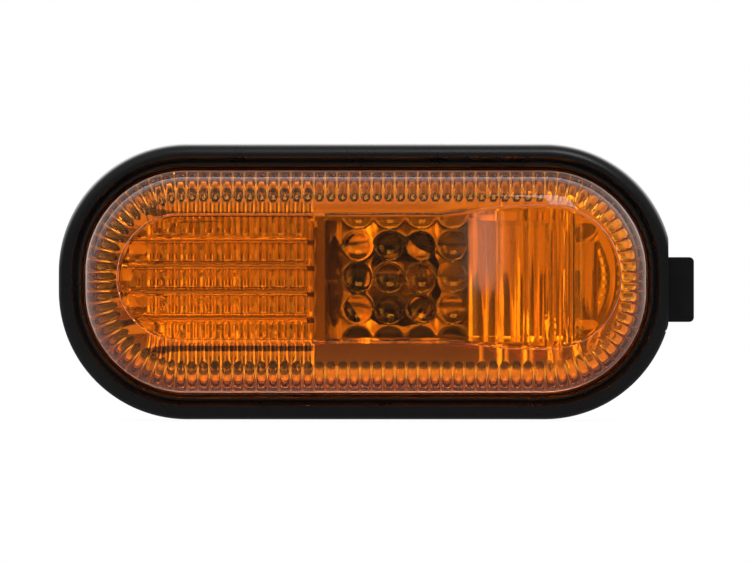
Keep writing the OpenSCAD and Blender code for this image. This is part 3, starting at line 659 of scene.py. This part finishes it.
def dressNode(name, node, body, material, round=0.15, segments=2, angle=35):
    # a merged copy of a CAD piece, with soft edges of round millimetres, takes its place
    source = nodes[node].data
    bm = bmesh.new()
    bm.from_mesh(source)
    bmesh.ops.remove_doubles(bm, verts=bm.verts, dist=0.000002)
    bmesh.ops.dissolve_limit(bm, angle_limit=math.radians(1.0), verts=bm.verts, edges=bm.edges)
    mesh = bpy.data.meshes.new(name)
    bm.to_mesh(mesh)
    bm.free()
    mesh.shade_smooth()
    mesh.set_sharp_from_angle(angle=math.radians(angle))
    piece = bpy.data.objects.new(name, mesh)
    bpy.context.scene.collection.objects.link(piece)
    mesh.materials.clear()
    mesh.materials.append(material)
    if round:
        soft = piece.modifiers.new("softEdges", "BEVEL")
        soft.width = round * 0.001
        soft.segments = segments
        soft.limit_method = "ANGLE"
        soft.angle_limit = math.radians(angle)
        soft.harden_normals = True
    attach(piece, body)
    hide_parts(node)
    print("piece", name, len(mesh.polygons), "faces")
    return piece


dressNode("housingTub", "housing", "lamp", housingBlack, 0.2)
dressNode("panelFoam", "panel_gasket", "lamp", foamGrey, 0.12)
dressNode("springClip", "spring_clip", "lamp", springSteel, 0.06)
dressNode("reflectorInsert", "reflector", "lamp", platedInsert, 0.12)

# plated ring on the flange, seen through the flutes
insertRimSize = {"outer": 4.3, "inner": 10.1, "low": 2.65, "high": 3.62, "edge": 0.2}


def makeInsertRim(s):
    edge = s["edge"]
    return sweepOval([(s["outer"], s["low"]), (s["outer"], s["high"] - edge), (s["outer"] + edge, s["high"]),
                      (s["inner"] - edge, s["high"]), (s["inner"], s["high"] - edge), (s["inner"], s["low"])],
                     cornerSteps=24, longSteps=8, endSteps=2)


standUp("insertRim", makeInsertRim(insertRimSize), platedInsert, "lamp", 32)
dressNode("quarterTurnHolder", "bulb_holder", "holder", holderGrey, 0.15)
dressNode("holderSeal", "holder_seal", "holder", sealRubber, 0.25, 3)
dressNode("terminalLeft", "terminal_left", "holder", terminalTin, 0.08)
dressNode("terminalRight", "terminal_right", "holder", terminalTin, 0.08)

bulbFinish = (("bulb_glass", bulbGlassClear), ("lead_wire_left", leadWireNickel), ("lead_wire_right", leadWireNickel),
              ("filament", tungstenGrey))
for node, material in bulbFinish:
    for i in range(max(1, len(nodes[node].material_slots))):
        if nodes[node].material_slots:
            nodes[node].material_slots[i].material = material
        else:
            nodes[node].data.materials.append(material)

# for each kind of ray, how far the table glows instead of being lit, and how strongly
stageSize = {"floorLevel": -0.0181, "floorHalf": 0.45,
             "Camera": (0.93, 1.0), "Glossy": (1.0, 0.15), "Transmission": (1.0, 0.7)}


def makeStage(s):
    bm = bmesh.new()
    bmesh.ops.create_grid(bm, x_segments=2, y_segments=2, size=s["floorHalf"])
    bmesh.ops.translate(bm, vec=(0, 0, s["floorLevel"]), verts=bm.verts)
    mesh = bpy.data.meshes.new("whiteTable")
    bm.to_mesh(mesh)
    bm.free()
    floor = bpy.data.objects.new("whiteTable", mesh)
    bpy.context.scene.collection.objects.link(floor)
    material, tree, shader = newMaterial("tableWhite", Base_Color=(0.9, 0.9, 0.9, 1), Roughness=0.7)
    rays = tree.nodes.new("ShaderNodeLightPath")
    glow = addNode(tree, "ShaderNodeEmission", Color=(1, 1, 1, 1))
    mix = tree.nodes.new("ShaderNodeMixShader")
    for column, socket in ((0, mix.inputs["Fac"]), (1, glow.inputs["Strength"])):
        for ray in ("Camera", "Glossy", "Transmission"):
            part = addNode(tree, "ShaderNodeMath", {"operation": "MULTIPLY_ADD"})
            tree.links.new(rays.outputs["Is " + ray + " Ray"], part.inputs[0])
            part.inputs[1].default_value = s[ray][column]
            part.inputs[2].default_value = 0.0
            tree.links.new(part.outputs[0], socket)
            socket = part.inputs[2]
    tree.links.new(shader.outputs["BSDF"], mix.inputs[1])
    tree.links.new(glow.outputs["Emission"], mix.inputs[2])
    tree.links.new(mix.outputs["Shader"], tree.nodes["Material Output"].inputs["Surface"])
    mesh.materials.append(material)


makeStage(stageSize)

# strengths of the world, and the reach of its fades along up, back and sideways
studioLight = {"front": 0.03, "above": 0.3, "behind": 4.8, "right": 4.6, "left": 1.4, "through": 0.04,
               "up": (-0.1, 0.8), "back": (0.0, 0.8), "sideways": (0.45, 0.85)}


def makeStudio(s):
    # a tent that is dark in front, bright above and brightest high behind;
    # its sides are bright for what is seen through the lens
    world = bpy.data.worlds.new("studio")
    bpy.context.scene.world = world
    world.use_nodes = True
    tree = world.node_tree
    tree.nodes.clear()
    direction = tree.nodes.new("ShaderNodeTexCoord")
    axes = tree.nodes.new("ShaderNodeSeparateXYZ")
    rays = tree.nodes.new("ShaderNodeLightPath")
    soft = {"interpolation_type": "SMOOTHSTEP"}
    near, far = s["sideways"]
    behind = addNode(tree, "ShaderNodeMapRange", soft, From_Min=s["back"][0], From_Max=s["back"][1],
                     To_Min=s["above"], To_Max=s["above"] + s["behind"])
    above = addNode(tree, "ShaderNodeMapRange", soft, From_Min=s["up"][0], From_Max=s["up"][1])
    right = addNode(tree, "ShaderNodeMapRange", soft, From_Min=near, From_Max=far,
                    To_Min=s["through"], To_Max=s["right"])
    left = addNode(tree, "ShaderNodeMapRange", soft, From_Min=-near, From_Max=-far, To_Max=s["left"])
    sides = addNode(tree, "ShaderNodeMath", {"operation": "ADD"})
    through = addNode(tree, "ShaderNodeMath", {"operation": "MULTIPLY"})
    high = addNode(tree, "ShaderNodeMath", {"operation": "MULTIPLY_ADD"})
    high.inputs[2].default_value = s["front"]
    total = addNode(tree, "ShaderNodeMath", {"operation": "ADD"})
    dim = addNode(tree, "ShaderNodeBackground", Color=(1, 1, 1, 1))
    white = addNode(tree, "ShaderNodeBackground", Color=(1, 1, 1, 1), Strength=1.0)
    mix = tree.nodes.new("ShaderNodeMixShader")
    out = tree.nodes.new("ShaderNodeOutputWorld")
    link = tree.links.new
    link(direction.outputs["Generated"], axes.inputs[0])
    link(axes.outputs["Y"], behind.inputs["Value"])
    link(axes.outputs["Z"], above.inputs["Value"])
    link(axes.outputs["X"], right.inputs["Value"])
    link(axes.outputs["X"], left.inputs["Value"])
    link(right.outputs["Result"], sides.inputs[0])
    link(left.outputs["Result"], sides.inputs[1])
    link(sides.outputs[0], through.inputs[0])
    link(rays.outputs["Is Transmission Ray"], through.inputs[1])
    link(behind.outputs["Result"], high.inputs[0])
    link(above.outputs["Result"], high.inputs[1])
    link(high.outputs[0], total.inputs[0])
    link(through.outputs[0], total.inputs[1])
    link(total.outputs[0], dim.inputs["Strength"])
    link(rays.outputs["Is Camera Ray"], mix.inputs["Fac"])
    link(dim.outputs["Background"], mix.inputs[1])
    link(white.outputs["Background"], mix.inputs[2])
    link(mix.outputs["Shader"], out.inputs["Surface"])


makeStudio(studioLight)


def softbox(name, place, target, width, height, power, mirrored=True, colour=(1, 1, 1)):
    light = bpy.data.lights.new(name, "AREA")
    light.shape = "RECTANGLE"
    light.size = width
    light.size_y = height
    light.energy = power
    light.color = colour
    obj = bpy.data.objects.new(name, light)
    bpy.context.scene.collection.objects.link(obj)
    obj.location = place
    obj.visible_camera = False
    obj.visible_glossy = mirrored
    obj.rotation_euler = (Vector(target) - Vector(place)).to_track_quat("-Z", "Y").to_euler()
    return obj


# the side box and the small pane near the camera are also mirrored by the lens, as pale patches
softbox("topBox", (-0.1, -0.5, 0.55), (0, 0, 0), 0.5, 0.4, 5.0, mirrored=False)
softbox("sideBox", (0.145, -0.58, 0.54), (0.02, 0, 0.01), 0.2, 0.3, 0.7)
softbox("windowPane", (0.0283, -1.01, 0.0077), (0.015, 0, 0.004), 0.006, 0.0186, 0.0009)

# the frame's width is measured 3 mm in front of the wing panel
cameraSize = {"distance": 1.1, "facePlane": 0.003, "frameWidth": 0.0978, "axisX": 0.0012, "axisZ": 0.0,
              "sensor": 36.0}
lensCamera = bpy.data.cameras.new("frontCamera")
lensCamera.sensor_width = cameraSize["sensor"]
toFace = cameraSize["distance"] - cameraSize["facePlane"]
lensCamera.lens = cameraSize["sensor"] * toFace / cameraSize["frameWidth"]
lensCamera.clip_start = 0.01
cameraRig = bpy.data.objects.new("frontCamera", lensCamera)
bpy.context.scene.collection.objects.link(cameraRig)
cameraRig.location = (cameraSize["axisX"], -cameraSize["distance"], cameraSize["axisZ"])
cameraRig.rotation_euler = (math.radians(90), 0, 0)
bpy.context.scene.camera = cameraRig
bpy.context.scene.view_settings.view_transform = "Standard"
print("stage, lights and camera set")
